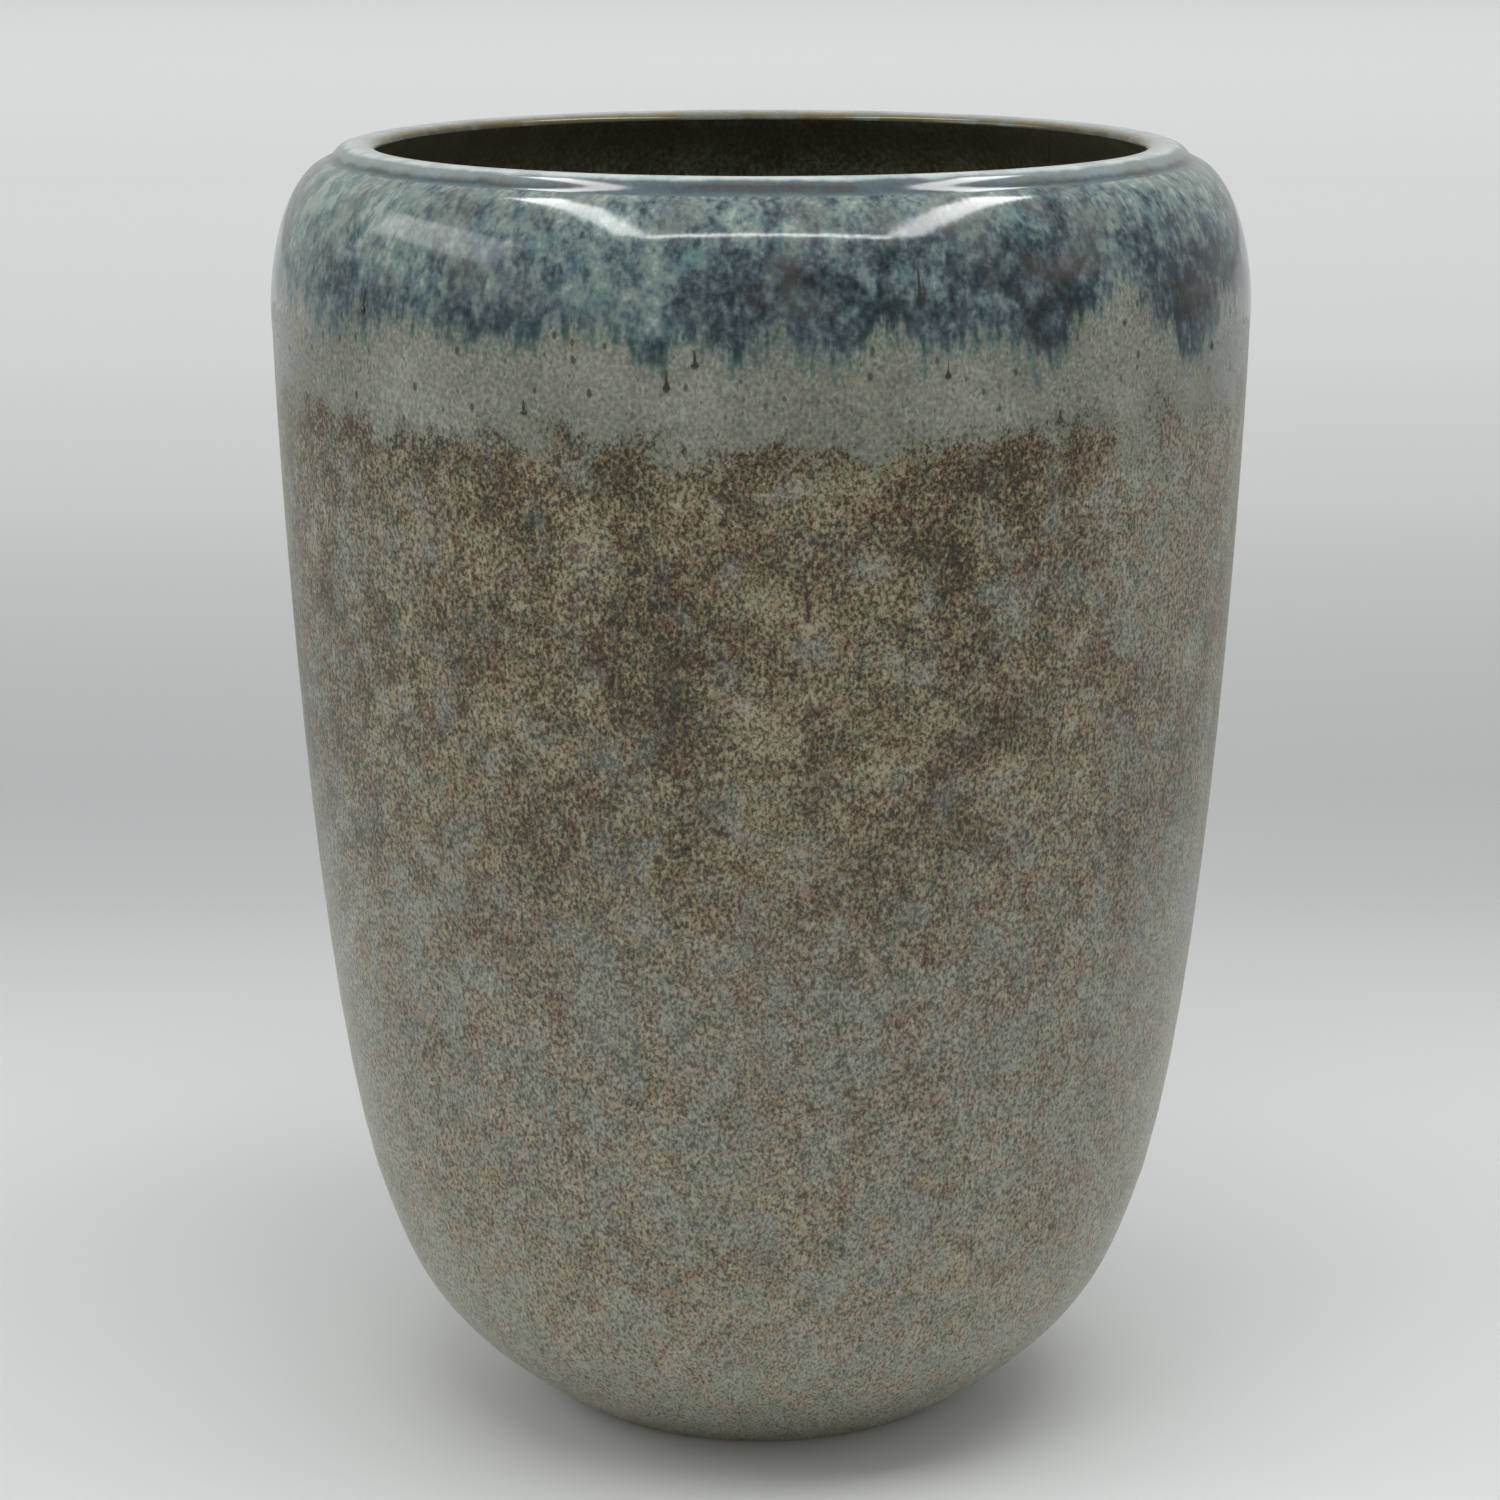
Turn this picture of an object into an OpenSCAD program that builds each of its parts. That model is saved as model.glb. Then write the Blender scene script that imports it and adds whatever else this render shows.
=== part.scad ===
// Stoneware vase: a thick-walled pot with a curved bottom, an almost straight wall,
// a full round shoulder and a wide mouth with a raised round lip. It stands on a
// narrow turned foot ring. The clay is one piece; each coat of glaze is a skin
// fused to it. Millimetres, +Z up. The origin is the centre of the resting face.

/* [Overall size] */
// Height from the resting face of the foot ring to the crest of the lip
height = 300; // [285:1:315]
// Diameter over the glaze at the widest point
belly_d = 225; // [216:1:234]
// Height of the widest point
belly_z = 262; // [256:1:266]

/* [Bottom and foot] */
// Diameter of the clay at the hip, where the curved bottom turns into the wall
hip_d = 179.6; // [170:0.2:188]
// Height of the hip
hip_z = 50; // [44:1:56]
// Slope of the clay at the hip, in degrees from level
hip_slope = 69; // [66:1:72]
// Slope of the clay where it leaves the foot, in degrees from level
foot_slope = 32; // [28:1:36]
// Outer diameter of the foot ring's resting face
foot_d = 92; // [84:1:96]
// Width of the foot ring's resting face
foot_ring_w = 5; // [3.5:0.5:7]
// Depth of the turned hollow inside the foot ring
foot_recess = 2.5; // [1.5:0.5:4]

/* [Mouth and lip] */
// Diameter of the mouth inside the lip, over the glaze
mouth_d = 176; // [170:1:180]
// Diameter of the groove where the lip stands up from the shoulder
neck_d = 198; // [196:1:202]
// Slope of the shoulder where it reaches the lip, in degrees from level
neck_slope = 24; // [18:1:30]
// Height of the lip's crest above the top of the shoulder
lip_rise = 4; // [3:0.5:6]
// Slope of the lip's outer face, in degrees from level
lip_slope = 46; // [40:1:60]

/* [Clay] */
// Thickness of the clay wall
wall = 6.5; // [5:0.5:8]
// Thickness of the clay floor over the foot's hollow
floor_t = 7; // [5.5:0.5:9]

/* [Glaze] */
// Thickness of the mottled base coat on the outside
base_t = 0.5; // [0.3:0.05:0.7]
// Thickness of the blue-green coat laid over it on the shoulder
shoulder_t = 0.35; // [0.2:0.05:0.5]
// Thickness of the glaze over the lip
lip_t = 0.5; // [0.3:0.05:0.7]
// Thickness of the lining glaze
liner_t = 0.4; // [0.25:0.05:0.6]
// Thickness of the thin glaze in the foot's hollow
underside_t = 0.3; // [0.2:0.05:0.4]
// Width of a glaze run at its widest
run_w = 1.3; // [0.8:0.1:2]
// Height that a glaze run stands proud
run_h = 0.4; // [0.2:0.05:0.6]

/* [Hidden] */
$fn = 180;

// Straight pieces that each curve is drawn with
bottom_steps = 14;
wall_steps = 16;
shoulder_steps = 12;
collar_steps = 4;
lip_steps = 5;
inside_steps = 10;

// Clay sizes, found by taking the glaze off the outer sizes
crest_z = height - lip_t;
belly_r = belly_d / 2 - base_t;
hip_r = hip_d / 2;
neck_r = neck_d / 2;
neck_z = crest_z - lip_rise + 0.5;
mouth_r = mouth_d / 2 + lip_t;
foot_r = foot_d / 2;
foot_in_r = foot_r - foot_ring_w;
floor_z = foot_recess + floor_t;
floor_r = foot_r - 4;

// Bare bevel between the resting face and the glaze line
bevel_w = 2.5;
bevel_h = 1.2;

// Cove inside the foot ring: how far its wall leans in, and the bare strip at its lower edge
cove_w = 1.2;
cove_bare = 0.4;

// The lip's section: the crest stands over its middle, and the inner edge is this far down
crest_r = mouth_r + 4;
collar_r = crest_r + 4.2;
collar_drop = 1.4;
inner_edge_drop = 1.6;

// Share of a coat's thickness left at its feathered edge, and the points it takes to fill out
feather = 0.35;
feather_points = 5;

// The blue-green coat reaches this many of the wall's straight pieces below the belly
band_reach = 2;

// Glaze runs: [direction in degrees from +X, height of its top, length]
RUNS = [
    [221, 275, 7], [244, 255, 4], [260, 263, 6], [263, 267, 5], [287, 284, 11],
    [290, 264, 5], [304, 252, 4], [331, 265, 7], [20, 262, 6], [57, 266, 8],
    [95, 260, 5], [128, 265, 7], [166, 259, 5]
];
run_rings = 10;
run_sides = 6;

// Curve helpers. A curve is four points of a cubic Bezier, drawn in [radius, height].
function polar(angle, length) = length * [cos(angle), sin(angle)];
function curve_at(c, t) =
    pow(1 - t, 3) * c[0] + 3 * pow(1 - t, 2) * t * c[1] + 3 * (1 - t) * t * t * c[2] + pow(t, 3) * c[3];
function curve_dir(c, t) =
    pow(1 - t, 2) * (c[1] - c[0]) + 2 * (1 - t) * t * (c[2] - c[1]) + t * t * (c[3] - c[2]);

// Unit vector out of the clay: the curves run up the outside, over the lip and down the inside
function out_of(c, t) = let (d = curve_dir(c, t)) [d[1], -d[0]] / norm(d);

// A span is a list of [curve, steps, first step, last step]. trace() gives its points, lifted
// off the clay. carry_on() leaves out a span's first point, which ends the span before it.
function trace(span, lift = 0) = [
    for (s = span, i = [s[2] : s[3]])
        let (t = i / s[1]) curve_at(s[0], t) + lift * out_of(s[0], t)
];
function whole(curve, steps, first = 1) = [curve, steps, first, steps];
function carry_on(span) = [
    for (j = [0 : len(span) - 1])
        let (s = span[j]) j == 0 ? [s[0], s[1], s[2] + 1, s[3]] : s
];

// The same, with the lift eased in over the first points, for a coat with a feathered edge
function trace_feathered(span, base, lift) =
    let (inner = trace(span, base), outer = trace(span, base + lift)) [
        for (k = [0 : len(inner) - 1])
            let (share = feather + (1 - feather) * sqrt(min(1, k / feather_points)))
                inner[k] + share * (outer[k] - inner[k])
    ];
function backwards(list) = [for (i = [len(list) - 1 : -1 : 0]) list[i]];

// Key points of the clay
foot_top = [foot_r + bevel_w, bevel_h];
hip = [hip_r, hip_z];
belly = [belly_r, belly_z];
neck = [neck_r, neck_z];
collar = [collar_r, crest_z - collar_drop];
crest = [crest_r, crest_z];
inner_edge = [mouth_r, crest_z - inner_edge_drop];
inner_belly = [belly_r - wall, belly_z];
inner_hip = hip - wall * polar(hip_slope - 90, 1);
floor_edge = [floor_r, floor_z];

// Outside curves, from the foot up to the inner edge of the lip
bottom_curve = [foot_top, foot_top + polar(foot_slope, 39), hip - polar(hip_slope, 12.5), hip];
wall_curve = [hip, hip + polar(hip_slope, 46), belly - [0, 20], belly];
shoulder_curve = [belly, belly + [0, 5], neck + polar(-neck_slope, 13), neck];
collar_curve = [neck, neck + polar(180 - neck_slope, 1.4), collar - polar(180 - lip_slope, 1), collar];
lip_out_curve = [collar, collar + polar(180 - lip_slope, 0.8), crest + [2.4, 0], crest];
lip_in_curve = [crest, crest - [2.4, 0], inner_edge + [0, 1.2], inner_edge];

// Inside curves, from the lip down to the floor
throat_curve = [inner_edge, inner_edge - [0, 4], inner_belly + [0, 27], inner_belly];
inner_wall_curve = [inner_belly, inner_belly - [0, 20], inner_hip + polar(hip_slope, 46), inner_hip];
inner_bottom_curve = [inner_hip, inner_hip - polar(hip_slope, 14), floor_edge + [22, 0], floor_edge];

// Spans that the coats cover
band_start = wall_steps - band_reach;
outside = [
    whole(bottom_curve, bottom_steps, 0), whole(wall_curve, wall_steps),
    whole(shoulder_curve, shoulder_steps)
];
band = [whole(wall_curve, wall_steps, band_start), whole(shoulder_curve, shoulder_steps)];
lip = [
    whole(collar_curve, collar_steps, 0), whole(lip_out_curve, lip_steps),
    whole(lip_in_curve, lip_steps)
];
inside = [
    whole(throat_curve, inside_steps, 0), whole(inner_wall_curve, inside_steps),
    whole(inner_bottom_curve, inside_steps)
];

// Outer radius of the glazed pot against height, over the wall and shoulder where the runs lie
wall_below_band = [[wall_curve, wall_steps, 0, band_start - 1]];
glazed_radius = [
    for (p = concat(trace(wall_below_band, base_t), trace_feathered(band, base_t, shoulder_t)))
        [p[1], p[0]]
];

// Fired clay: wall, floor, lip and turned foot ring in one piece
module stoneware_body() {
    foot = [
        [0, floor_z], [0, foot_recess], [foot_in_r - cove_w, foot_recess], [foot_in_r, 0], [foot_r, 0]
    ];
    color("#9c8468")
        rotate_extrude()
            polygon(concat(trace(outside), trace(carry_on(lip)), trace(carry_on(inside)), foot));
}

// Mottled grey-brown coat over the whole outside, from the glaze line at the foot to the lip
module base_glaze() {
    color("#77725f")
        rotate_extrude()
            polygon(concat(trace_feathered(outside, 0, base_t), backwards(trace(outside))));
}

// Blue-green coat over the base coat, from the lip down to a feathered edge below the belly
module shoulder_glaze() {
    color("#587079")
        rotate_extrude()
            polygon(concat(
                trace_feathered(band, base_t, shoulder_t), backwards(trace(band, base_t))
            ));
}

// Glaze drawn thin over the raised lip
module lip_glaze() {
    color("#8b8d80")
        rotate_extrude()
            polygon(concat(trace(lip, lip_t), backwards(trace(lip))));
}

// Dark lining glaze down the inside and across the floor
module liner_glaze() {
    color("#3a3b31")
        rotate_extrude()
            polygon(concat(
                trace(inside, liner_t),
                [[0, floor_z + liner_t], [0, floor_z]],
                backwards(trace(inside))
            ));
}

// Thin glaze in the hollow of the foot, stopping short of the resting face
module underside_glaze() {
    cove_r = foot_in_r - cove_w;
    strip_r = foot_in_r - cove_w * cove_bare;
    strip_z = foot_recess * cove_bare;
    color("#5d594b")
        rotate_extrude()
            polygon([
                [0, foot_recess], [cove_r, foot_recess], [strip_r, strip_z],
                [strip_r - underside_t, strip_z], [cove_r - underside_t, foot_recess - underside_t],
                [0, foot_recess - underside_t]
            ]);
}

// Share of its full size that a run has at `u`, which goes from 0 at its top to 1 at its foot:
// a thin tail that swells towards a round end
function run_share(u) = (0.4 + 0.6 * u * u) * sqrt(1 - pow(2 * u - 1, 8));

// One ring of a run at height `z`: a low arch that springs from the glazed face
function run_ring(z, share) = [
    for (k = [0 : run_sides])
        let (
            a = 180 * k / run_sides,
            r = lookup(z, glazed_radius) + run_h * share * sin(a),
            turn = run_w / 2 * share * cos(a) / r * 180 / PI
        ) [r * cos(turn), r * sin(turn), z]
];

// One run, lying down the glazed face below `top_z` in the +X direction
module glaze_run(top_z, length) {
    ring = run_sides + 1;
    last = (run_rings - 1) * ring;
    points = [
        for (i = [1 : run_rings])
            let (u = i / (run_rings + 1)) each run_ring(top_z - u * length, run_share(u))
    ];
    skin = [
        for (i = [0 : run_rings - 2], k = [0 : run_sides])
            let (a = i * ring + k, b = i * ring + (k + 1) % ring)
                each [[a, b + ring, b], [a, a + ring, b + ring]]
    ];
    caps = [[for (k = [0 : run_sides]) k], [for (k = [run_sides : -1 : 0]) last + k]];
    polyhedron(points, concat(skin, caps));
}

// Runs of thick dark glaze below and inside the shoulder band
module glaze_runs() {
    color("#25343b")
        for (run = RUNS)
            rotate([0, 0, run[0]])
                glaze_run(run[1], run[2]);
}

stoneware_body();
base_glaze();
shoulder_glaze();
lip_glaze();
liner_glaze();
underside_glaze();
glaze_runs();
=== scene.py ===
"""Stoneware vase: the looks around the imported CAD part.

Each piece is a closed shell turned from the outline of the CAD node that it stands for, and the glaze
runs lie where the CAD's do, so sizes and places are the CAD's. Metres, +Z up. The front faces -Y.
"""

import math

import bpy
import numpy as np
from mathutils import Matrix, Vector, noise


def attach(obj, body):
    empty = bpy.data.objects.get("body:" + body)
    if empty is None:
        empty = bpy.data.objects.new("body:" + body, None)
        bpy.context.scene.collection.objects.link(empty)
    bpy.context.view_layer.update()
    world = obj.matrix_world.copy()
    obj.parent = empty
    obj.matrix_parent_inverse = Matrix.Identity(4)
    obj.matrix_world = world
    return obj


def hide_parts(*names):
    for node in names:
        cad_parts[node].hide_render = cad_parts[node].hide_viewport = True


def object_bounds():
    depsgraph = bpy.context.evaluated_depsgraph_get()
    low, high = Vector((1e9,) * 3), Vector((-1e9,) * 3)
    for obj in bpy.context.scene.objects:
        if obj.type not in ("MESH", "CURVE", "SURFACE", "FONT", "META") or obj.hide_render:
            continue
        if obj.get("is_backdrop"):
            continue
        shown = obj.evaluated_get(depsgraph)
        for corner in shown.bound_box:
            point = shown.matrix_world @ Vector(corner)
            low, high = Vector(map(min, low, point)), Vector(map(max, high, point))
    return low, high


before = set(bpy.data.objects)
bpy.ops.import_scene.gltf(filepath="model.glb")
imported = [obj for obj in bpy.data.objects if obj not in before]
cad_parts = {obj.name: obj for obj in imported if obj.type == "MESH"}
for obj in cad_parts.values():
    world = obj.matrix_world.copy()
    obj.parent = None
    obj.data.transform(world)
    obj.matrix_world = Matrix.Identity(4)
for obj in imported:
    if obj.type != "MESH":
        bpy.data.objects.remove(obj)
CAD_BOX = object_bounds()

MM = 0.001
REFERENCE_RADIUS = 112 * MM  # the radius at which the glaze patterns have their true width
SHARP_TURN = math.radians(20)  # an outline that turns more than this between two steps has a corner


# ---------------------------------------------------------------- outlines read from the CAD nodes


def vertices_of(node):
    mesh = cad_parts[node].data
    places = np.empty(len(mesh.vertices) * 3, np.float32)
    mesh.vertices.foreach_get("co", places)
    return places.reshape(-1, 3).astype(float)


def outline(node):
    """The section of a turned CAD node: its rings as (radius, height), in order along the section,
    and whether the section closes on itself or ends at the axis."""
    places = vertices_of(node)
    turned = np.stack([np.hypot(places[:, 0], places[:, 1]), places[:, 2]], axis=1)
    on_seam = (np.abs(places[:, 1]) < 1e-7) & (places[:, 0] > 0)
    rings = np.unique(np.round(turned[on_seam], 6), axis=0)
    nearest = np.argmin(np.linalg.norm(turned[:, None] - rings[None], axis=2), axis=1)
    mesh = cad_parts[node].data
    edges = np.empty(len(mesh.edges) * 2, np.int32)
    mesh.edges.foreach_get("vertices", edges)
    pairs = np.unique(np.sort(nearest[edges].reshape(-1, 2), axis=1), axis=0)
    beside = {i: [] for i in range(len(rings))}
    for a, b in pairs:
        if a != b:
            beside[a].append(b)
            beside[b].append(a)
    ends = [i for i, near in beside.items() if len(near) == 1]
    order = [ends[0] if ends else 0]
    while True:
        onward = [i for i in beside[order[-1]] if i not in order]
        if not onward:
            break
        order.append(onward[0])
    return rings[order], not ends


def coat_sides(node):
    """A coat's two sides, with their points in the same order along the section. The section
    doubles back on itself at each edge of the coat, and that is where it is cut."""
    points, closed = outline(node)
    count = len(points)
    steps = np.roll(points, -1, axis=0) - points
    steps /= np.linalg.norm(steps, axis=1)[:, None]
    turnback = [np.dot(steps[i - 1], steps[(i + 1) % count]) for i in range(count)]
    if closed:
        first, second = sorted(np.argsort(turnback)[:2])
        one = points[first + 1 : second + 1]
        other = np.roll(points, -(second + 1), axis=0)[: count - len(one)]
    else:
        cut = 1 + int(np.argmin(turnback[1 : count - 2]))
        one, other = points[: cut + 1], points[cut + 1 :]
    return one, other[::-1]


class Path:
    """A smooth curve of (radius, height) points, measured by length from its first point."""

    def __init__(self, points):
        self.points = np.asarray(points, float)
        chords = np.linalg.norm(np.diff(self.points, axis=0), axis=1)
        self.knots = np.concatenate([[0], np.cumsum(chords)])
        self.length = self.knots[-1]
        self.bend = self._bend(chords)

    def _bend(self, chords):
        """Second derivatives of the natural cubic spline through the points."""
        count = len(self.points)
        matrix, right = np.eye(count), np.zeros((count, 2))
        slopes = np.diff(self.points, axis=0) / chords[:, None]
        for i in range(1, count - 1):
            matrix[i, i - 1 : i + 2] = chords[i - 1], 2 * (chords[i - 1] + chords[i]), chords[i]
            right[i] = 6 * (slopes[i] - slopes[i - 1])
        return np.linalg.solve(matrix, right)

    def _place(self, s):
        s = np.clip(s, 0, self.length)
        i = np.clip(np.searchsorted(self.knots, s, side="right") - 1, 0, len(self.knots) - 2)
        gap = self.knots[i + 1] - self.knots[i]
        return i, gap[..., None], ((s - self.knots[i]) / gap)[..., None]

    def at(self, s):
        i, gap, t = self._place(s)
        ease_in, ease_out = (1 - t) ** 3 - (1 - t), t**3 - t
        bend = gap**2 / 6 * (ease_in * self.bend[i] + ease_out * self.bend[i + 1])
        return (1 - t) * self.points[i] + t * self.points[i + 1] + bend

    def normal(self, s):
        """Unit normal on the right of the direction of travel."""
        i, gap, t = self._place(s)
        ease_in, ease_out = 1 - 3 * (1 - t) ** 2, 3 * t**2 - 1
        bend = gap / 6 * (ease_in * self.bend[i] + ease_out * self.bend[i + 1])
        along = (self.points[i + 1] - self.points[i]) / gap + bend
        along /= np.linalg.norm(along, axis=-1)[..., None]
        return np.stack([along[..., 1], -along[..., 0]], axis=-1)

    def length_at_height(self, z):
        """Length along the path where it first reaches height z."""
        s = np.linspace(0, self.length, 4001)
        return float(s[np.argmax(self.at(s)[:, 1] >= z)])


# ---------------------------------------------------------------- meshes


def turned_mesh(name, sections, angles, closed=True, attributes=None):
    """A closed shell from a grid of (radius, height) sections, one row a ring and one column an angle.
    A closed grid joins its last row to its first; an open one is capped at the axis at both ends."""
    rows, columns = sections.shape[:2]
    radius, height = sections[..., 0], sections[..., 1]
    grid = np.stack([radius * np.cos(angles), radius * np.sin(angles), height], axis=-1)
    places = grid.reshape(-1, 3)
    row = np.arange(rows if closed else rows - 1)
    i, j = np.meshgrid(row, np.arange(columns), indexing="ij")
    below, above = i * columns, (i + 1) % rows * columns
    beside = (j + 1) % columns
    quads = np.stack([below + j, below + beside, above + beside, above + j], axis=-1)
    faces = quads.reshape(-1, 4).tolist()
    if not closed:
        first, last = len(places), len(places) + 1
        centres = [[0, 0, height[0].mean()], [0, 0, height[-1].mean()]]
        places = np.concatenate([places, centres])
        start = (rows - 1) * columns
        for k in range(columns):
            after = (k + 1) % columns
            faces.append([first, after, k])
            faces.append([last, start + k, start + after])
    mesh = bpy.data.meshes.new(name)
    mesh.from_pydata(places.tolist(), [], faces)
    if signed_volume(mesh) < 0:
        mesh.flip_normals()
    mesh.shade_smooth()
    mesh.set_sharp_from_angle(angle=math.radians(50))
    for key, values in (attributes or {}).items():
        write_attribute(mesh, key, values)
    return add_object(name, mesh)


def signed_volume(mesh):
    mesh.calc_loop_triangles()
    corners = np.empty(len(mesh.loop_triangles) * 3, np.int32)
    mesh.loop_triangles.foreach_get("vertices", corners)
    places = np.empty(len(mesh.vertices) * 3, np.float32)
    mesh.vertices.foreach_get("co", places)
    a, b, c = places.reshape(-1, 3).astype(float)[corners.reshape(-1, 3)].transpose(1, 0, 2)
    return float(np.einsum("ij,ij->i", a, np.cross(b, c)).sum() / 6)


def write_attribute(mesh, key, values):
    """Stores one value a vertex. Points that were added at the axis repeat the last value."""
    values = np.asarray(values, np.float32)
    vector = values.shape[-1] == 3 and values.ndim == 3
    flat = values.reshape(-1, 3) if vector else values.reshape(-1, 1)
    spare = len(mesh.vertices) - len(flat)
    if spare:
        flat = np.concatenate([flat, np.repeat(flat[-1:], spare, axis=0)])
    kind, field = ("FLOAT_VECTOR", "vector") if vector else ("FLOAT", "value")
    mesh.attributes.new(key, kind, "POINT").data.foreach_set(field, flat.ravel())


def around(columns):
    return np.arange(columns) * (2 * math.pi / columns)


def lengths(first, last, rows, columns):
    """A grid of lengths along a path that runs evenly from the first to the last, row by row."""
    return np.repeat(np.linspace(first, last, rows)[:, None], columns, axis=1)


def flow_grid(angles, along):
    """Coordinates for a glaze pattern: round the pot at one true width, and along its outline."""
    rows = along.shape[0]
    angles = np.broadcast_to(angles, (rows, angles.shape[-1]))
    along = np.broadcast_to(along, angles.shape)
    ring = REFERENCE_RADIUS * np.stack([np.cos(angles), np.sin(angles)], axis=-1)
    return np.concatenate([ring, along[..., None]], axis=-1)


def rough_field(flow, size, seed):
    """Smooth noise from about -1 to 1 on a flow grid, with features about `size` apart."""
    places = (flow / size + seed).reshape(-1, 3)
    values = np.array([noise.noise(Vector(p)) for p in places.tolist()])
    return values.reshape(flow.shape[:-1])


def stack_rows(*blocks):
    return np.concatenate(blocks, axis=0)


def add_object(name, data):
    """Puts a mesh, lamp or camera in the scene under a name of its own."""
    thing = bpy.data.objects.new(name, data)
    bpy.context.scene.collection.objects.link(thing)
    return thing


# ---------------------------------------------------------------- materials

MIX_A, MIX_B, MIX_RESULT = 6, 7, 2  # a Mix node's sockets for colours


def paint(code):
    """A colour written #rrggbb, as the linear values that a shader takes."""
    parts = [int(code[k : k + 2], 16) / 255 for k in (1, 3, 5)]
    return [c / 12.92 if c <= 0.04045 else ((c + 0.055) / 1.055) ** 2.4 for c in parts] + [1.0]


class Look:
    """A material being built. Each call adds a node and gives back the socket that it makes."""

    def __init__(self, name):
        self.material = bpy.data.materials.new(name)
        self.material.use_nodes = True
        self.tree = self.material.node_tree
        self.shader = self.tree.nodes["Principled BSDF"]

    def set(self, **values):
        for key, value in values.items():
            self.feed(self.shader.inputs[key.replace("_", " ")], value)

    def feed(self, socket, value):
        if isinstance(value, bpy.types.NodeSocket):
            self.tree.links.new(value, socket)
        elif isinstance(value, str):
            socket.default_value = paint(value)
        else:
            socket.default_value = value

    def node(self, kind, **settings):
        made = self.tree.nodes.new("ShaderNode" + kind)
        for key, value in settings.items():
            setattr(made, key, value)
        return made

    def attribute(self, key, output="Fac"):
        return self.node("Attribute", attribute_name=key).outputs[output]

    def math(self, operation, a, b):
        made = self.node("Math", operation=operation)
        self.feed(made.inputs[0], a)
        self.feed(made.inputs[1], b)
        return made.outputs[0]

    def total(self, *terms):
        """The sum of (value, weight) pairs, where a bare number is added as it is."""
        result = 0.0
        for term in terms:
            if isinstance(term, tuple):
                term = self.math("MULTIPLY", *term)
            result = self.math("ADD", result, term)
        return result

    def axis(self, vector, number):
        made = self.node("SeparateXYZ")
        self.feed(made.inputs[0], vector)
        return made.outputs[number]

    def remap(self, value, low, high, to_low=0.0, to_high=1.0):
        made = self.node("MapRange", interpolation_type="SMOOTHSTEP")
        for socket, number in zip(made.inputs, (value, low, high, to_low, to_high)):
            self.feed(socket, number)
        return made.outputs[0]

    def profile(self, value, *stops):
        """A curve of straight pieces through its stops: (value, result from 0 to 1)."""
        low, high = stops[0][0], stops[-1][0]
        made = self.node("MapRange")
        self.feed(made.inputs["Value"], value)
        made.inputs["From Min"].default_value = low
        made.inputs["From Max"].default_value = high
        ramp = self.node("ValToRGB")
        while len(ramp.color_ramp.elements) < len(stops):
            ramp.color_ramp.elements.new(0.5)
        for element, (stop, result) in zip(ramp.color_ramp.elements, stops):
            element.position = (stop - low) / (high - low)
            element.color = (result, result, result, 1)
        self.feed(ramp.inputs[0], made.outputs[0])
        return ramp.outputs[0]

    def scaled(self, vector, size, stretch=1.0, seed=0.0):
        """Coordinates in units of `size` millimetres, drawn out downhill by `stretch`."""
        made = self.node("Mapping")
        unit = 1 / (size * MM)
        self.feed(made.inputs["Vector"], vector)
        made.inputs["Scale"].default_value = (unit, unit, unit / stretch)
        made.inputs["Location"].default_value = (seed, seed * 0.7, seed * 1.3)
        return made.outputs[0]

    def field(self, vector, size, stretch=1.0, seed=0.0, detail=2.0, roughness=0.5):
        """Noise near 0.5, with its largest features about `size` millimetres apart."""
        made = self.node("TexNoise")
        self.feed(made.inputs["Vector"], self.scaled(vector, size, stretch, seed))
        made.inputs["Scale"].default_value = 1.0
        made.inputs["Detail"].default_value = detail
        made.inputs["Roughness"].default_value = roughness
        return made.outputs[0]

    def specks(self, vector, size, edge, share, stretch=1.0, seed=0.0):
        """Round specks, one in some of the cells `size` millimetres wide. A speck fades out and in
        between the two distances of `edge`, and a cell has one past the two chances of `share`."""
        made = self.node("TexVoronoi")
        self.feed(made.inputs["Vector"], self.scaled(vector, size, stretch, seed))
        made.inputs["Scale"].default_value = 1.0
        chance = self.node("SeparateColor")
        self.feed(chance.inputs[0], made.outputs["Color"])
        inside = self.remap(made.outputs["Distance"], *edge)
        return self.math("MULTIPLY", inside, self.remap(chance.outputs[0], *share))

    def palette(self, value, *stops):
        """A colour ramp from (position, #rrggbb) stops."""
        made = self.node("ValToRGB")
        ramp = made.color_ramp
        while len(ramp.elements) < len(stops):
            ramp.elements.new(0.5)
        for element, (position, code) in zip(ramp.elements, stops):
            element.position = position
            element.color = paint(code)
        self.feed(made.inputs[0], value)
        return made.outputs[0]

    def blend(self, share, a, b, kind="MIX"):
        made = self.node("Mix", data_type="RGBA", blend_type=kind, clamp_factor=True)
        self.feed(made.inputs["Factor"], share)
        self.feed(made.inputs[MIX_A], a)
        self.feed(made.inputs[MIX_B], b)
        return made.outputs[MIX_RESULT]

    def bump(self, height, strength, distance):
        made = self.node("Bump")
        self.feed(made.inputs["Height"], height)
        made.inputs["Strength"].default_value = strength
        made.inputs["Distance"].default_value = distance
        return made.outputs[0]


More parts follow.
